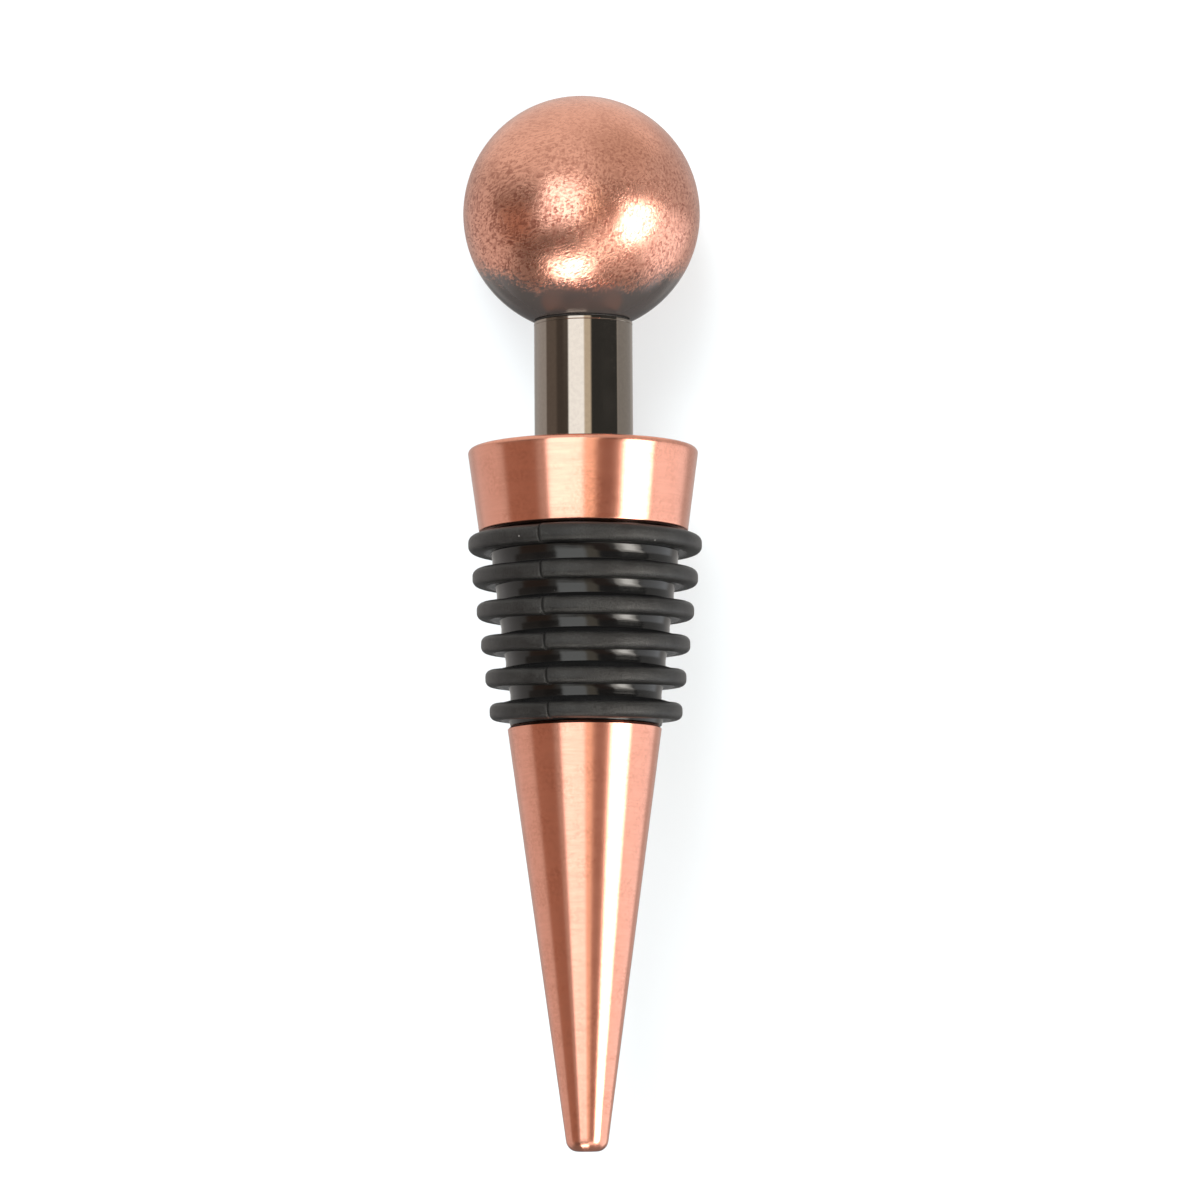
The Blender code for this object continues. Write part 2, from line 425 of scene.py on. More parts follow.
def turning_marks_group() -> bpy.types.NodeTree:
    """Fine lines that a lathe tool or a belt leaves around a piece.

    The marks are noise read at (reach cos u, reach sin u, lines per mm x length along the outline),
    which is long around the axis, short along it, and has no seam.
    """
    nodes = Group("Turning marks", {"Lines per mm": 5.0, "Reach": 6.0}, ["Marks"])
    lines_per_mm, reach, *_ = nodes.given
    uv = nodes.add("ShaderNodeUVMap", uv_map=UV_NAME).outputs["UV"]
    parts = nodes.add("ShaderNodeSeparateXYZ", {0: uv}).outputs
    turn = nodes.times(parts["X"], FULL_TURN)
    place = nodes.add("ShaderNodeCombineXYZ", {
        "X": nodes.times(nodes.math("COSINE", turn), reach),
        "Y": nodes.times(nodes.math("SINE", turn), reach),
        "Z": nodes.times(nodes.times(parts["Y"], UV_SPAN / MM), lines_per_mm),
    }).outputs["Vector"]
    marks = nodes.noise(place, 1.0, detail=3.0, roughness=0.6)
    nodes.feed(nodes.out["Marks"], nodes.ramp(marks, 0.3, 0.7))
    return nodes.tree


def patina_group() -> bpy.types.NodeTree:
    """Slow cloudy variation of a plated surface, with a finer mottle in it."""
    nodes = Group("Patina", {"Cloud size mm": 4.0, "Mottle size mm": 0.5}, ["Clouds", "Mottle"])
    place = nodes.place_mm()
    for size, pattern in zip(nodes.given, ("Clouds", "Mottle")):
        value = nodes.noise(place, nodes.math("DIVIDE", 1.0, size), detail=3.0, roughness=0.6)
        nodes.feed(nodes.out[pattern], nodes.ramp(value, 0.32, 0.68))
    return nodes.tree


def dust_group() -> bpy.types.NodeTree:
    """A few tiny pale specks, each a small blob around a scattered point."""
    nodes = Group("Dust", {"Spacing mm": 1.6, "Speck size mm": 0.05, "Share": 0.3}, ["Specks"])
    spacing, speck_size, share, *_ = nodes.given
    cells = nodes.add("ShaderNodeTexVoronoi", {
        "Vector": nodes.place_mm(), "Scale": nodes.math("DIVIDE", 1.0, spacing)}, feature="F1")
    reach = nodes.times(cells.outputs["Distance"], spacing)
    blob = nodes.math("LESS_THAN", reach, speck_size)
    pick = nodes.add("ShaderNodeSeparateColor", {0: cells.outputs["Color"]}).outputs["Red"]
    chosen = nodes.math("LESS_THAN", pick, share)
    nodes.feed(nodes.out["Specks"], nodes.times(blob, chosen))
    return nodes.tree


@dataclass(frozen=True)
class Effects:
    """The node groups that several finishes share."""

    turning: bpy.types.NodeTree
    patina: bpy.types.NodeTree
    dust: bpy.types.NodeTree

    @classmethod
    def build(cls) -> "Effects":
        """Make each group once."""
        return cls(turning_marks_group(), patina_group(), dust_group())


class Coat(Nodes):
    """The nodes of one material, which end in its Principled shader."""

    def __init__(self, name: str, effects: "Effects | None" = None) -> None:
        """Start a material that may use the shared effects."""
        self.material = bpy.data.materials.new(name)
        self.material.use_nodes = True
        self.effects = effects
        super().__init__(self.material.node_tree)

    def patina(self, cloud_size: float, mottle_size: float) -> list[Socket]:
        """Clouds and mottle, of two sizes in millimetres."""
        return list(self.group(self.effects.patina, Cloud_size_mm=cloud_size,
                               Mottle_size_mm=mottle_size).outputs)

    def marks(self, lines_per_mm: float, reach: float) -> Socket:
        """Turning marks around the axis."""
        return self.group(self.effects.turning, Lines_per_mm=lines_per_mm, Reach=reach).outputs[0]

    def finish(self, feeds: dict[str, Value]) -> bpy.types.Material:
        """Feed the shader's inputs by name, and give the finished material."""
        shader = self.tree.nodes["Principled BSDF"]
        for name, value in feeds.items():
            self.feed(shader.inputs[name], value)
        return self.material


# ---------------- finishes


@dataclass(frozen=True)
class ScratchedCopper:
    """Darkened copper plate rubbed bright by hand, with short scratches in many directions.

    The rubbing leaves the scratches dark, least so near the top. The underside near the neck is painted
    shade: a smooth, less metallic dark grey for the shade under the ball. The stored rubbed value sets
    where that shade begins, and it is lower at the sides.
    """

    colour: Colour = (0.91, 0.45, 0.32)
    tarnish: Colour = (0.36, 0.125, 0.085)
    # Painted shade under the ball, with its own roughness, metallic value, relief and reach.
    painted_shade: Colour = (0.13, 0.112, 0.104)
    roughness: float = 0.21
    painted_shade_roughness: float = 0.16
    painted_shade_metallic: float = 0.55
    painted_shade_relief: float = 0.2
    scratch_depth: float = 0.021 * MM
    scratches_per_mm: float = 4.6
    stretch: float = 4.6
    patches_per_mm: float = 0.45
    patch_shift: float = 10.0
    edge_clouds: float = 0.14
    edge_scratches: float = 0.16
    painted_shade_below: float = -0.64
    painted_shade_full: float = -0.78
    directions: tuple[Colour, ...] = (
        (0.3, 0.2, 0.0), (1.2, 0.4, 0.6), (0.5, 1.3, 0.2), (1.9, 0.9, 1.1))

    def scratches(self, coat: Coat, place: Socket) -> Socket:
        """Sum thin noise streaks of several directions, each strongest in its own patches."""
        fine, long = self.scratches_per_mm, self.scratches_per_mm / self.stretch
        total: Number = 0.0
        for number, direction in enumerate(self.directions, 1):
            along = coat.stretched(place, direction, (fine, fine, long))
            streaks = coat.noise(along, 1.0, detail=3.0)
            shift = {0: place, 1: (self.patch_shift * number, 0.0, 0.0)}
            elsewhere = coat.add("ShaderNodeVectorMath", shift, operation="ADD").outputs["Vector"]
            patch = coat.ramp(coat.noise(elsewhere, self.patches_per_mm), 0.42, 0.58, 0.1, 1.0)
            total = coat.times(coat.math("SUBTRACT", streaks, 0.5), patch, total)
        return coat.math("ADD", total, 0.5, clamp=True)

    def painted_shade_share(self, coat: Coat, place: Socket, height: Socket) -> Socket:
        """How much painted shade covers the underside: all of it near the neck, with an edge broken by
        scratches.
        """
        cloud = coat.math("SUBTRACT", coat.noise(place, 0.35), 0.5)
        wavy = coat.times(cloud, self.edge_clouds, coat.stored(SHADE_REACH))
        broken = coat.times(coat.math("SUBTRACT", height, 0.5), self.edge_scratches, wavy)
        return coat.ramp(broken, self.painted_shade_full, self.painted_shade_below, 1.0, 0.0)

    def material(self, effects: Effects) -> bpy.types.Material:
        """Build the finish."""
        coat = Coat("scratched_copper", effects)
        place = coat.place_mm()
        height = self.scratches(coat, place)
        clouds, mottle = coat.patina(4.0, 0.5)
        worn = coat.ramp(coat.stored(LATITUDE), -0.2, 0.8, 1.0, 0.35)
        hollow = coat.times(coat.ramp(height, 0.61, 0.38), worn)
        grime = coat.times(hollow, coat.ramp(mottle, 0.0, 1.0, 0.4, 0.9))
        share = coat.times(clouds, 0.1, grime, clamp=True)
        copper = coat.blend(share, self.colour, self.tarnish)
        # Painted shade: near the neck the copper turns a smooth, less metallic dark grey, for the shade
        # under the ball.
        painted_shade = self.painted_shade_share(coat, place, height)
        rough = coat.times(share, 0.1, coat.times(clouds, 0.05, self.roughness))
        relief = coat.times(height, coat.ramp(painted_shade, 0.0, 1.0, 1.0, self.painted_shade_relief))
        return coat.finish({
            "Base Color": coat.blend(painted_shade, copper, self.painted_shade),
            "Metallic": coat.ramp(painted_shade, 0.0, 1.0, 1.0, self.painted_shade_metallic),
            "Roughness": coat.ramp(painted_shade, 0.0, 1.0, rough, self.painted_shade_roughness),
            "Normal": coat.bump(relief, self.scratch_depth),
        })


@dataclass(frozen=True)
class TurnedCopper:
    """Copper plate brushed around the axis, so that reflections smear along the axis only."""

    name: str
    colour: Colour = (0.90, 0.41, 0.29)
    tarnish: Colour = (0.62, 0.24, 0.15)
    roughness: float = 0.18
    anisotropy: float = 0.85
    lines_per_mm: float = 6.0
    mark_depth: float = 0.0008 * MM

    def material(self, effects: Effects) -> bpy.types.Material:
        """Build the finish."""
        coat = Coat(self.name, effects)
        fine = coat.marks(self.lines_per_mm, 3.0)
        broad = coat.marks(self.lines_per_mm / 4, 1.5)
        marks = coat.times(broad, 0.5, coat.times(fine, 0.5))
        clouds, mottle = coat.patina(3.0, 0.35)
        stain = coat.times(mottle, coat.ramp(clouds, 0.2, 1.0, 0.05, 0.35))
        share = coat.times(marks, 0.18, stain)
        return coat.finish({
            "Base Color": coat.blend(share, self.colour, self.tarnish),
            "Roughness": coat.times(marks, 0.05, self.roughness),
            "Normal": coat.bump(marks, self.mark_depth),
            "Metallic": 1.0,
            "Anisotropic": self.anisotropy,
            "Anisotropic Rotation": QUARTER_TURN,
        })


@dataclass(frozen=True)
class BlackNickel:
    """Dark polished plate with faint turning lines under the polish."""

    colour: Colour = (0.35, 0.297, 0.247)
    stain: Colour = (0.22, 0.185, 0.16)
    roughness: float = 0.045
    mark_depth: float = 0.00008 * MM

    def material(self, effects: Effects) -> bpy.types.Material:
        """Build the finish."""
        coat = Coat("polished_black_nickel", effects)
        clouds, mottle = coat.patina(2.5, 0.4)
        return coat.finish({
            "Base Color": coat.blend(coat.times(mottle, 0.16), self.colour, self.stain),
            "Roughness": coat.times(clouds, 0.03, self.roughness),
            "Normal": coat.bump(coat.marks(2.0, 3.0), self.mark_depth),
            "Metallic": 1.0,
        })


@dataclass(frozen=True)
class MouldedRubber:
    """Near-black rubber: satin on the ribs' faces, glossier down in the grooves, lightly dusty."""

    colour: Colour = (0.007, 0.007, 0.007)
    bloom: Colour = (0.024, 0.024, 0.023)
    dust: Colour = (0.35, 0.34, 0.32)
    specular: float = 0.42
    sheen_tint: Colour = (1.0, 0.95, 0.88)
    rib_roughness: float = 0.31
    groove_roughness: float = 0.08
    mottle_roughness: float = 0.08
    parting_roughness: float = 0.6
    grain_depth: float = 0.018 * MM
    line_depth: float = 0.001 * MM

    def material(self, effects: Effects) -> bpy.types.Material:
        """Build the finish.

        The ribs are satin and bloomed. The grooves keep the fine lines of the turned mould.
        """
        coat = Coat("moulded_rubber", effects)
        rib, parting = coat.stored(RIB), coat.stored(PARTING)
        clouds, mottle = coat.patina(2.5, 0.16)
        specks = coat.group(effects.dust, Spacing_mm=1.7, Speck_size_mm=0.06, Share=0.3).outputs[0]
        bloom = coat.times(coat.times(clouds, mottle), rib)
        base = coat.blend(bloom, self.colour, self.bloom)
        rough = coat.ramp(rib, 0.0, 1.0, self.groove_roughness, self.rib_roughness)
        uneven = coat.times(mottle, self.mottle_roughness, rough)
        groove = coat.math("SUBTRACT", 1.0, rib)
        lines = coat.bump(coat.times(coat.marks(5.0, 2.0), groove), self.line_depth)
        return coat.finish({
            "Base Color": coat.blend(specks, base, self.dust),
            "Roughness": coat.times(parting, self.parting_roughness, uneven, clamp=True),
            "Normal": coat.bump(coat.times(mottle, rib), self.grain_depth, lines),
            "Specular IOR Level": self.specular,
            "Specular Tint": self.sheen_tint,
        })


@dataclass(frozen=True)
class PressedFibre:
    """Black fibre sheet that the washer is stamped from."""

    colour: Colour = (0.012, 0.010, 0.009)
    fleck: Colour = (0.05, 0.042, 0.036)
    roughness: float = 0.6
    grain_depth: float = 0.01 * MM

    def material(self, effects: Effects) -> bpy.types.Material:
        """Build the finish."""
        coat = Coat("pressed_fibre", effects)
        clouds, mottle = coat.patina(1.0, 0.12)
        return coat.finish({
            "Base Color": coat.blend(mottle, self.colour, self.fleck),
            "Roughness": coat.times(clouds, 0.15, self.roughness),
            "Normal": coat.bump(mottle, self.grain_depth),
        })


@dataclass(frozen=True)
class PlainSteel:
    """Bare machined steel with an oily darker film in places."""

    name: str
    colour: Colour = (0.58, 0.57, 0.55)
    film: Colour = (0.34, 0.32, 0.29)
    roughness: float = 0.3
    lines_per_mm: float = 4.0
    mark_depth: float = 0.001 * MM

    def material(self, effects: Effects) -> bpy.types.Material:
        """Build the finish."""
        coat = Coat(self.name, effects)
        marks = coat.marks(self.lines_per_mm, 4.0)
        clouds, _ = coat.patina(3.0, 0.3)
        return coat.finish({
            "Base Color": coat.blend(coat.times(clouds, 0.6), self.colour, self.film),
            "Roughness": coat.times(marks, 0.12, self.roughness),
            "Normal": coat.bump(marks, self.mark_depth),
            "Metallic": 1.0,
        })


def place_piece(piece: bpy.types.Object, node: str, body: Body,
                material: bpy.types.Material) -> None:
    """Dress a piece, put it on its body, and let it stand for its CAD node.

    Args:
        piece: The finished object.
        node: The CAD node that it replaces.
        body: The body that it rides on.
        material: Its material.
    """
    piece.data.materials.append(material)
    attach(piece, body.value)
    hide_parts(node)
    LOG.info("%s: %d faces, rides on %s", piece.name, len(piece.data.polygons), body.value)


# ---------------- sub-assemblies


@dataclass(frozen=True)
class Knob:
    """The screw-on ball and the washer that it is tightened against."""

    around: int = 192
    spacing: float = 0.2 * MM
    arc_steps: int = 96
    flat_radius: float = 5.0 * MM
    flat_rounding: float = 0.12 * MM
    hole_radius: float = 3.05 * MM
    hole_depth: float = 10.0 * MM
    drill_point: float = 1.8 * MM
    countersink: float = 0.4 * MM
    # The next two shape the ball's painted shade, which climbs higher beyond this half width.
    unshaded_half_width: float = 0.38
    side_shade_falloff: float = 0.42
    washer_radius: float = 4.8 * MM
    washer_bore: float = 3.2 * MM
    washer_rounding: float = 0.04 * MM

    def build(self, effects: Effects) -> None:
        """Build the ball and the washer."""
        place_piece(self.ball(), "ball_knob", Body.KNOB,
                    ScratchedCopper().material(effects))
        place_piece(self.washer(), "knob_washer", Body.WASHER,
                    PressedFibre().material(effects))

    def ball(self) -> bpy.types.Object:
        """Make the ball: a sphere's arc down to the flat, then the flat, and up the blind hole.

        The arc is radius R sin a at height centre + R cos a, from a = 0 at the top to where R sin a is
        the flat's radius. The stored rubbed value sets where the painted shade on the underside begins:
        beyond the unshaded half width it falls below the latitude, so the shade climbs higher at the
        sides.
        """
        extent = Extent.of("ball_knob")
        reach = extent.radius
        centre = extent.top - reach
        flat = centre - sqrt(reach**2 - self.flat_radius**2)
        ends = pi - np.arcsin(self.flat_radius / reach)
        angles = np.linspace(0, ends, self.arc_steps)
        arc = np.stack([reach * np.sin(angles), centre + reach * np.cos(angles)], -1)
        arc[0, 0] = 0
        roof = flat + self.hole_depth
        inside = rounded_outline(
            [
                (*arc[-2], 0),
                (self.flat_radius, flat, self.flat_rounding),
                (self.hole_radius + self.countersink, flat, 0),
                (self.hole_radius, flat + self.countersink, 0),
                (self.hole_radius, roof, 0),
                (0, roof + self.drill_point, 0),
            ],
            self.spacing, is_ring=False)
        inside[-1, 0] = 0
        outline = np.concatenate([arc[:-2], inside])
        ball = carried_around("copper_ball", outline, False, self.around)
        places = vertex_places(ball) / reach
        latitude = places[:, 2] - centre / reach
        # Painted shade: beyond the half width the value drops, so the dark underside climbs higher at the
        # sides.
        beside = np.clip(np.abs(places[:, 0]) - self.unshaded_half_width, 0, None)
        store_values(ball, LATITUDE, latitude)
        store_values(ball, SHADE_REACH, latitude - self.side_shade_falloff * beside)
        return ball

    def washer(self) -> bpy.types.Object:
        """Make the washer, filling the seat between neck and ball."""
        bottom = Extent.of("neck_tube").top + HAIRLINE
        top = Extent.of("ball_knob").bottom - HAIRLINE
        corners = tube_corners(self.washer_radius, self.washer_bore, bottom, top,
                               self.washer_rounding)
        return turned("fibre_washer", corners, True, self.around, self.spacing)


@dataclass(frozen=True)
class Stem:
    """Neck tube, collar, core tube and the threaded stud that holds them together."""

    around: int = 192
    spacing: float = 0.3 * MM
    bore: float = 3.2 * MM
    neck_bevel: float = 0.07 * MM
    neck_seat_depth: float = 0.3 * MM
    neck_seat_radius: float = 5.13 * MM
    neck_aside: float = 0.1 * MM
    core_aside: float = 0.1 * MM
    groove_drop: float = 0.34 * MM
    groove_depth: float = 0.04 * MM
    groove_width: float = 0.1 * MM
    collar_bottom_radius: float = 10.53 * MM
    collar_top_rounding: float = 0.5 * MM
    collar_bottom_rounding: float = 0.2 * MM
    rim_share: float = 0.9
    thread_pitch: float = 1.0 * MM
    thread_depth: float = 0.54 * MM
    thread_steps: int = 12
    thread_around: int = 64
    crest_share: float = 0.12
    flank_share: float = 0.72
    stud_chamfer: float = 0.5 * MM

    def build(self, effects: Effects) -> None:
        """Build the four pieces."""
        place_piece(self.neck(), "neck_tube", Body.STEM,
                    BlackNickel().material(effects))
        place_piece(self.collar(), "collar", Body.STEM,
                    TurnedCopper("turned_copper_collar").material(effects))
        place_piece(self.core(), "sleeve_core", Body.STEM,
                    PlainSteel("steel_core_finish").material(effects))
        place_piece(self.stud(), "tie_stud", Body.STEM,
                    PlainSteel("steel_stud_finish", roughness=0.26).material(effects))

    def neck(self) -> bpy.types.Object:
        """Make the neck: a tube with a bevelled top edge and a hair-fine groove under it."""
        extent = Extent.of("neck_tube")
        outer, top = extent.radius, extent.top
        bottom = Extent.of("collar").top - self.neck_seat_depth + HAIRLINE
        groove = top - self.groove_drop
        corners = [
            (outer - self.neck_bevel, top, 0),
            (outer, top - self.neck_bevel, 0),
            (outer, groove + self.groove_width / 2, 0),
            (outer - self.groove_depth, groove, 0),
            (outer, groove - self.groove_width / 2, 0),
            (outer, bottom, 0),
            (self.bore, bottom, 0),
            (self.bore, top, 0),
        ]
        neck = turned("nickel_neck", corners, True, self.around, self.spacing)
        return moved_aside(neck, self.neck_aside)

    def collar(self) -> bpy.types.Object:
        """Make the collar: a disc that narrows downwards, with a rounded top edge and a seat."""
        extent = Extent.of("collar")
        seat = extent.top - self.neck_seat_depth
        corners = [
            (extent.radius + self.rim_gain(extent), extent.top, self.collar_top_rounding),
            (self.collar_bottom_radius, extent.bottom, self.collar_bottom_rounding),
            (self.bore, extent.bottom, 0),
            (self.bore, seat, 0),
            (self.neck_seat_radius, seat, 0),
            (self.neck_seat_radius, extent.top, 0),
        ]
        return turned("copper_collar", corners, True, self.around, self.spacing)

    def rim_gain(self, extent: Extent) -> float:
        """How far the collar's sharp top corner stands outside its rounded rim.

        The rounding sets the rim in by a little more than rounding x slope. Rim share of that is given
        back, so the rim stays inside the CAD's.
        """
        slope = (extent.radius - self.collar_bottom_radius) / (extent.top - extent.bottom)
        return self.collar_top_rounding * slope * self.rim_share

    def core(self) -> bpy.types.Object:
        """Make the plain tube inside the rubber sleeve."""
        extent = Extent.of("sleeve_core")
        corners = tube_corners(extent.radius, self.bore, extent.bottom, extent.top,
                               self.neck_bevel)
        core = turned("steel_core", corners, True, self.around // 2, self.spacing)
        return moved_aside(core, self.core_aside)

    def stud(self) -> bpy.types.Object:
        """Make the stud: a rod whose radius follows a helical thread.

        At angle a and height z the thread's phase is z / pitch - a / full turn. The radius falls from the
        crest by thread depth x |2 phase - 1|, flattened at crest and root, and both ends are chamfered.
        """
        extent = Extent.of("tie_stud")
        length = extent.top - extent.bottom
        columns = round(length / self.thread_pitch * self.thread_steps)
        column_height = np.linspace(extent.top, extent.bottom, columns + 1)
        angle = even_angles(self.thread_around)
        turn = angle[:, None] / FULL_TURN
        phase = (column_height[None, :] / self.thread_pitch - turn) % 1.0
        flank = np.clip((np.abs(2 * phase - 1) - self.crest_share) / self.flank_share, 0, 1)
        radius = extent.radius - self.thread_depth * flank
        to_end = np.minimum(extent.top - column_height, column_height - extent.bottom)
        chamfer = extent.radius - np.clip(self.stud_chamfer - to_end, 0, None)
        radius = np.minimum(radius, chamfer[None, :])
        height = np.broadcast_to(column_height, radius.shape)
        radius = np.pad(radius, ((0, 0), (1, 1)))
        height = np.pad(height, ((0, 0), (1, 1)), mode="edge")
        return surface("threaded_stud", angle, radius, height, is_ring=False)


@dataclass(frozen=True)
class RibbedSleeve:
    """The rubber sleeve: ribs that get smaller downwards, moulded in two halves."""

    rows: int = 300
    spacing: float = 0.22 * MM
    rib_count: int = 6
    rib_pitch: float = 3.38 * MM
    rib_thickness: float = 1.75 * MM
    rib_rounding: float = 0.68 * MM
    root_rounding: float = 0.12 * MM
    groove_taper: float = 0.16 * MM
    taper_height: float = 0.75 * MM
    taper_rounding: float = 1.6 * MM
    wall_play: float = 0.45 * MM
    rib_root: float = 0.6 * MM
    first_rib_depth: float = 1.3 * MM
    last_rib_radius: float = 9.7 * MM
    first_groove_radius: float = 9.35 * MM
    last_groove_radius: float = 7.6 * MM
    bore: float = 5.1 * MM
    parting_angle: float = radians(-23)
    parting_width: float = 0.1 * MM
    parting_depth: float = 0.26 * MM
    parting_gather: float = 0.48
    mismatch_sharpness: float = 40.0
    mould_mismatch: float = 0.06 * MM
    droop: float = 0.66 * MM
    droop_peak: float = 0.78
    droop_front: float = 0.3
    face_start: float = 0.4 * MM
    face_reach: float = 1.2 * MM
    lean: float = 0.01
    aside: float = 0.15 * MM

    def build(self, effects: Effects) -> None:
        """Build the sleeve."""
        place_piece(self.sleeve(), "ribbed_sleeve", Body.STEM,
                    MouldedRubber().material(effects))

    def corners(self, extent: Extent) -> list[Corner]:
        """List the outline's corners: six ribs down the outside, then up the bore."""
        first = extent.radius
        ribs = np.linspace(first, self.last_rib_radius, self.rib_count)
        grooves = np.linspace(self.first_groove_radius, self.last_groove_radius,
                              self.rib_count - 1)
        above = np.concatenate([[self.first_groove_radius], grooves])
        below = np.concatenate([grooves, [self.last_groove_radius]])
        corners: list[Corner] = [(self.first_groove_radius, extent.top, 0)]
        for number, (rib, upper, lower) in enumerate(zip(ribs, above, below)):
            middle = -self.first_rib_depth - number * self.rib_pitch
            top = middle + self.rib_thickness / 2
            bottom = middle - self.rib_thickness / 2
            root = 0 if number == 0 else self.root_rounding
            foot = 0 if number == self.rib_count - 1 else self.root_rounding
            corners += [
                (float(upper), top, root),
                (float(rib), top, self.rib_rounding),
                (float(rib), bottom, self.rib_rounding),
                (float(lower) + self.groove_taper, bottom, foot),
                (float(lower), bottom - self.taper_height, self.taper_rounding),
            ]
        corners.pop()
        corners += [
            (self.last_groove_radius, extent.bottom, 0),
            (self.bore, extent.bottom, 0),
            (self.bore, extent.top, 0),
        ]
        return corners

    def above_floor(self, depth: np.ndarray, radius: np.ndarray) -> np.ndarray:
        """Work out how far radii are above the grooves' floor, at depths from 0 to 1."""
        floor = np.interp(depth, [0, 1], [self.first_groove_radius, self.last_groove_radius])
        return radius - floor

    def row_angles(self) -> np.ndarray:
        """Angles of the rows, gathered towards the two parting lines so that they are crisp.

        An even angle t from a parting line moves to t - gather x sin 2t.
        """
        even = np.arange(self.rows) * FULL_TURN / self.rows
        return FRONT + self.parting_angle + even - self.parting_gather * np.sin(2 * even)

    def sleeve(self) -> bpy.types.Object:
        """Make the sleeve, with its parting lines, mould mismatch and soft droop.

        Each mould half shifts the ribs up or down a little, and a narrow groove of Gaussian section marks
        each parting line. The ribs droop towards the front by droop x c (1 - f + f c), where c is the
        cosine of the angle from the front and f is droop front. The droop is a sine down the sleeve that
        peaks at droop peak, because the cone holds the last rib. The ribs also lean towards +X.
        """
        extent = Extent.of("ribbed_sleeve")
        outline = rounded_outline(self.corners(extent), self.spacing, is_ring=True, steps=6)
        angle = self.row_angles()
        base_radius, base_height = outline[:, 0], outline[:, 1]
        depth = np.clip((extent.top - base_height) / (extent.top - extent.bottom), 0, 1)
        above_wall = self.above_floor(depth, base_radius) - self.wall_play
        outside = smooth_step(above_wall / self.rib_root)

        from_parting = np.abs((angle - FRONT - self.parting_angle + pi / 2) % pi - pi / 2)
        arc = from_parting[:, None] * base_radius[None, :]
        notch = np.exp(-((arc / self.parting_width) ** 2))
        radius = base_radius - self.parting_depth * notch * outside

        side = np.tanh(np.sin(angle - FRONT - self.parting_angle) * self.mismatch_sharpness)
        facing = np.cos(angle - FRONT)
        droop = self.droop * np.sin(depth / self.droop_peak * pi / 2)
        across = np.sin(angle - FRONT)[:, None] * base_radius
        moves = (
            self.mould_mismatch * side[:, None]
            - droop * (facing * (1 + self.droop_front * (facing - 1)))[:, None]
            - self.lean * across
        )
        height = base_height + moves * outside
        piece = surface("rubber_sleeve", angle, radius, height, is_ring=True)
        self.mark_ribs(piece)
        return moved_aside(piece, self.aside)

    def mark_ribs(self, piece: bpy.types.Object) -> None:
        """Store how far each point is up a rib, and how near it is to a parting line.

        The rib value is 0 at a groove's floor and 1 on the ribs' faces. The parting value is 1 in the
        middle of a parting line on a rib, and 0 elsewhere.
        """
        points = vertex_places(piece)
        extent = Extent.of("ribbed_sleeve")
        distance = np.hypot(points[:, 0], points[:, 1])
        depth = (extent.top - points[:, 2]) / (extent.top - extent.bottom)
        above_start = self.above_floor(depth, distance) - self.face_start
        rib = smooth_step(above_start / self.face_reach)
        store_values(piece, RIB, rib)
        turn = np.arctan2(points[:, 1], points[:, 0]) - FRONT - self.parting_angle
        arc = ((turn + pi / 2) % pi - pi / 2) * distance
        store_values(piece, PARTING, np.exp(-((arc / self.parting_width) ** 2)) * rib)


@dataclass(frozen=True)
class LowerCone:
    """The solid cone that hangs inside the bottle's neck."""

    around: int = 192
    spacing: float = 0.45 * MM
    rim_bevel: float = 0.28 * MM
    tip_radius: float = 1.98 * MM
    tip_rounding: float = 1.2 * MM
    hole_radius: float = 3.05 * MM
    hole_depth: float = 12.0 * MM
    drill_point: float = 1.8 * MM

    def build(self, effects: Effects) -> None:
        """Build the cone."""
        place_piece(self.cone(), "lower_cone", Body.STEM,
                    TurnedCopper("turned_copper_cone", roughness=0.21).material(effects))

    def cone(self) -> bpy.types.Object:
        """Make the cone: up the blind hole, out to the bevelled rim, and down to the tip."""
        extent = Extent.of("lower_cone")
        floor = extent.top - self.hole_depth
        corners = [
            (0, floor - self.drill_point, 0),
            (self.hole_radius, floor, 0),
            (self.hole_radius, extent.top, 0),
            (extent.radius - self.rim_bevel, extent.top, 0),
            (extent.radius, extent.top - self.rim_bevel, 0),
            (self.tip_radius, extent.bottom, self.tip_rounding),
            (0, extent.bottom, 0),
        ]
        return turned("copper_cone", corners, False, self.around, self.spacing)


# ---------------- studio


@dataclass(frozen=True)
class Card:
    """A studio card around the stopper: a bright softbox or a dark flag, by its direction.

    Azimuth is measured from the camera's side, positive to the right, and angles are degrees. The
    lean is how far the card moves to the right for each degree upwards.
    """

    azimuth: float
    elevation: float
    half_width: float
    half_height: float
    feather: float
    colour: Colour
    strength: float
    lean: float = 0.0


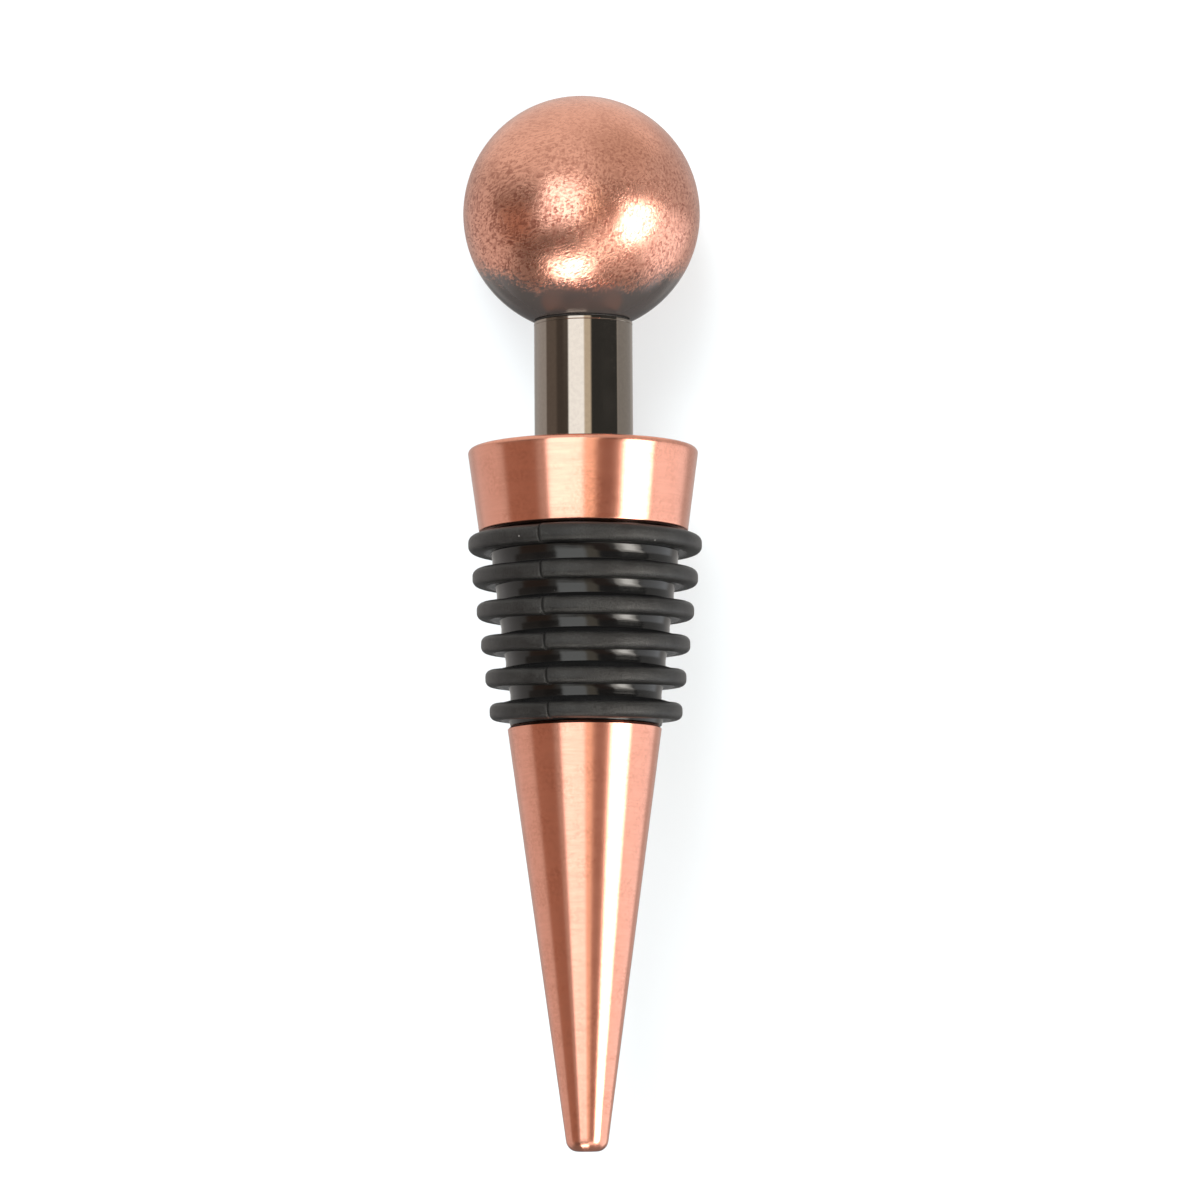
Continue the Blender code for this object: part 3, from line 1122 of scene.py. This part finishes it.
CARD_ANGLES = ("azimuth", "elevation", "half_width", "half_height", "feather", "lean")
CARDS = (
    Card(0, 62, 190, 34, 20, (1.0, 0.98, 0.95), 0.85),
    Card(0, -66, 190, 34, 24, (1.0, 0.93, 0.87), 0.26),
    Card(60, 50, 45, 22, 20, (1.0, 0.92, 0.85), 0.62),
    Card(180, -44, 68, 27, 14, (1.0, 0.96, 0.94), 0.24),
    Card(180, -14, 20, 14, 8, (1.0, 1.0, 1.0), 0.2),
    Card(-115, -8, 26, 26, 14, (1.0, 0.96, 0.95), 0.7),
    Card(-68, -10, 20, 13, 8, (1.0, 0.64, 0.48), 0.38),
    Card(-70, 9, 27, 6, 6, (1.0, 0.84, 0.74), 0.26),
    Card(-50, 9, 16, 6, 10, (1.0, 0.84, 0.74), 0.14),
    Card(-42, -37, 38, 12, 8, (1.0, 0.8, 0.7), 0.13),
    Card(-6, -23, 20, 8, 6, (1.0, 0.75, 0.62), 0.15, lean=1.5),
    Card(104, -18, 27, 21, 16, (0.96, 1.0, 1.06), 1.4),
    Card(108, 10, 32, 6, 5, (1.0, 1.0, 1.0), 0.5),
    Card(118, 26, 40, 14, 12, (1.0, 1.0, 1.0), 0.6),
    Card(76, 8, 9, 7, 8, (1.0, 0.95, 0.9), 1.2, lean=0.8),
    Card(28, -2, 13, 22, 4, (1.0, 0.6, 0.44), 0.27, lean=0.7),
    Card(50, 9.5, 36, 5, 4, (0.95, 1.0, 1.0), 0.08),
    Card(4, -1, 10.5, 16, 6, (1.0, 0.9, 0.74), 1.3, lean=0.3),
    Card(-18, 20, 14, 8, 8, (1.0, 0.95, 0.88), 1.1, lean=1.5),
    Card(-17.5, 3, 18.5, 19, 5, (0.94, 1.0, 1.05), 2.6, lean=0.1),
    Card(70, -48, 26, 10, 12, (1.0, 0.93, 0.9), 0.6),
    Card(26, -41, 21, 11, 12, (1.0, 0.97, 0.93), 1.9, lean=1.0),
    Card(56.5, -13, 16.5, 17, 4, (1.0, 0.99, 0.97), 5.0, lean=0.3),
    Card(57, -14, 8, 8, 10, (1.0, 1.0, 1.0), 13.0, lean=0.6),
    Card(-20, -63, 36, 9, 9, (1.0, 1.0, 0.98), 7.0),
)


@dataclass(frozen=True)
class Studio:
    """Plain pale surroundings with soft light, and the camera."""

    base: Colour = (0.56, 0.54, 0.52)
    seen: Colour = (1.0, 1.0, 1.0)
    sheet_half: float = 0.45
    sheet_glow: float = 0.52
    sheet_colour: Colour = (0.35, 0.385, 0.4)
    sheet_recline: float = radians(13)
    floor_drop: float = 0.12
    key_power: float = 4.6
    key_size: float = 0.26
    key_place: tuple[float, float, float] = (-0.12, -0.65, 0.33)
    camera_distance: float = 0.6
    camera_elevation: float = radians(-6.6)
    camera_roll: float = radians(-0.37)
    camera_lens: float = 178.8
    camera_sensor: float = 36.0
    aim_side: float = 1.62 * MM
    aim_drop: float = 39.38 * MM

    def build(self) -> None:
        """Build the surroundings, the light and the camera."""
        view = bpy.context.scene.view_settings
        view.view_transform = "Standard"
        self.world()
        self.sheets()
        self.key_light()
        self.camera()

    def card_group(self) -> bpy.types.NodeTree:
        """Make the mask of one card: 1 inside its angles, falling to 0 over its feather."""
        names = ("Right", "Up", *(name.replace("_", " ") for name in CARD_ANGLES))
        nodes = Group("Studio card", dict.fromkeys(names, 0.0), ["Mask"])
        right, up, azimuth, elevation, half_width, half_height, feather, lean, *_ = nodes.given
        upward = nodes.math("SUBTRACT", up, elevation)
        sideways = nodes.math("SUBTRACT", right, azimuth)
        leant = nodes.math("SUBTRACT", sideways, nodes.times(upward, lean))
        across = nodes.math("WRAP", leant, 180.0, -180.0)
        half_feather = nodes.times(feather, 0.5)
        edges = [
            nodes.ramp(nodes.math("ABSOLUTE", offset), nodes.math("SUBTRACT", half, half_feather),
                       nodes.math("ADD", half, half_feather), 1.0, 0.0)
            for offset, half in ((across, half_width), (upward, half_height))
        ]
        nodes.feed(nodes.out["Mask"], nodes.times(*edges))
        return nodes.tree

    def world(self) -> None:
        """Surround the stopper with cards. The camera itself sees only plain white."""
        world = bpy.data.worlds.new("studio")
        bpy.context.scene.world = world
        world.use_nodes = True
        nodes = Nodes(world.node_tree)
        direction = nodes.add("ShaderNodeTexCoord").outputs["Generated"]
        right, away, up = nodes.add("ShaderNodeSeparateXYZ", {0: direction}).outputs
        degrees = 180 / pi
        ray = {
            "Right": nodes.times(nodes.math("ARCTAN2", right, nodes.times(away, -1.0)), degrees),
            "Up": nodes.times(nodes.math("ARCSINE", up), degrees),
        }
        mask_group = self.card_group()
        colour: Value = self.base
        for card in CARDS:
            angles = {name: getattr(card, name) for name in CARD_ANGLES}
            mask = nodes.group(mask_group, **ray, **angles).outputs["Mask"]
            light = tuple(part * card.strength for part in card.colour)
            colour = nodes.blend(mask, colour, light)
        by_camera = nodes.add("ShaderNodeLightPath").outputs["Is Camera Ray"]
        background = world.node_tree.nodes["Background"]
        nodes.feed(background.inputs["Color"], nodes.blend(by_camera, colour, self.seen))

    def sheet_material(self) -> bpy.types.Material:
        """Make a pale paper that glows a little, shows soft shadows, and is clear from behind."""
        coat = Coat("pale_paper")
        material = coat.finish({
            "Base Color": self.sheet_colour,
            "Roughness": 1.0,
            "Specular IOR Level": 0.0,
            "Emission Color": self.seen,
            "Emission Strength": self.sheet_glow,
        })
        paper = coat.tree.nodes["Principled BSDF"].outputs[0]
        behind = coat.add("ShaderNodeNewGeometry").outputs["Backfacing"]
        clear = coat.add("ShaderNodeBsdfTransparent").outputs[0]
        mix = coat.add("ShaderNodeMixShader", {0: behind, 1: paper, 2: clear}).outputs[0]
        coat.feed(coat.tree.nodes["Material Output"].inputs["Surface"], mix)
        return material

    def sheets(self) -> None:
        """Hang the pale sheet that the ball touches, and lay a floor well below it.

        The sheet reclines, so that it falls away behind the cone.
        """
        material = self.sheet_material()
        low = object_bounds()[0]
        half = self.sheet_half
        across = np.array([-half, half, half, -half])
        along = np.array([-half, -half, half, half])
        still = np.zeros(4)
        ball = Extent.of("ball_knob")
        away = (ball.top - ball.radius - along) * tan(self.sheet_recline)
        touching = ball.radius / cos(self.sheet_recline) + HAIRLINE
        behind = np.stack([across, away + touching, along], -1)
        below = np.stack([across, along, still + low.z - self.floor_drop], -1)
        for name, corners in (("back_sheet", behind), ("floor_sheet", below)):
            mesh = bpy.data.meshes.new(name)
            mesh.from_pydata(corners.tolist(), [], [(0, 1, 2, 3)])
            mesh.materials.append(material)
            sheet = bpy.data.objects.new(name, mesh)
            bpy.context.scene.collection.objects.link(sheet)
            sheet.visible_glossy = False
            sheet.visible_diffuse = False
            sheet.visible_shadow = False
            sheet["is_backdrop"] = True

    def aimed(self, name: str, data: bpy.types.ID, place: Vector, direction: Vector,
              roll: float = 0.0) -> bpy.types.Object:
        """Stand a lamp or a camera at a place, facing in a direction."""
        aimed = bpy.data.objects.new(name, data)
        aimed.location = place
        aimed.rotation_mode = "QUATERNION"
        aimed.rotation_quaternion = (
            direction.to_track_quat("-Z", "Y") @ Quaternion((0, 0, 1), roll))
        bpy.context.scene.collection.objects.link(aimed)
        return aimed

    def key_light(self) -> None:
        """Add the soft light from the left that throws the faint shadow to the right."""
        light = bpy.data.lights.new("key", "AREA")
        light.energy = self.key_power
        light.size = self.key_size
        lamp = self.aimed("key", light, Vector(self.key_place), -Vector(self.key_place))
        lamp.visible_glossy = False
        lamp.visible_camera = False

    def camera(self) -> None:
        """Place the camera slightly below the stopper's middle, looking up at it."""
        ball = Extent.of("ball_knob")
        aim = Vector((self.aim_side, 0, ball.top - ball.radius - self.aim_drop))
        tilt = self.camera_elevation
        back = Vector((0, -cos(tilt), sin(tilt)))
        data = bpy.data.cameras.new("camera")
        data.lens = self.camera_lens
        data.sensor_width = self.camera_sensor
        data.clip_start = self.camera_distance / 10
        data.clip_end = self.camera_distance * 10
        place = aim + back * self.camera_distance
        bpy.context.scene.camera = self.aimed("camera", data, place, -back, self.camera_roll)


def main() -> None:
    """Build the stopper's looks around its frame."""
    logging.basicConfig(level=logging.INFO, format="%(name)s: %(message)s")
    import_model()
    Studio().build()
    effects = Effects.build()
    for assembly in (Knob(), Stem(), RibbedSleeve(), LowerCone()):
        assembly.build(effects)


if __name__ == "__main__":
    main()
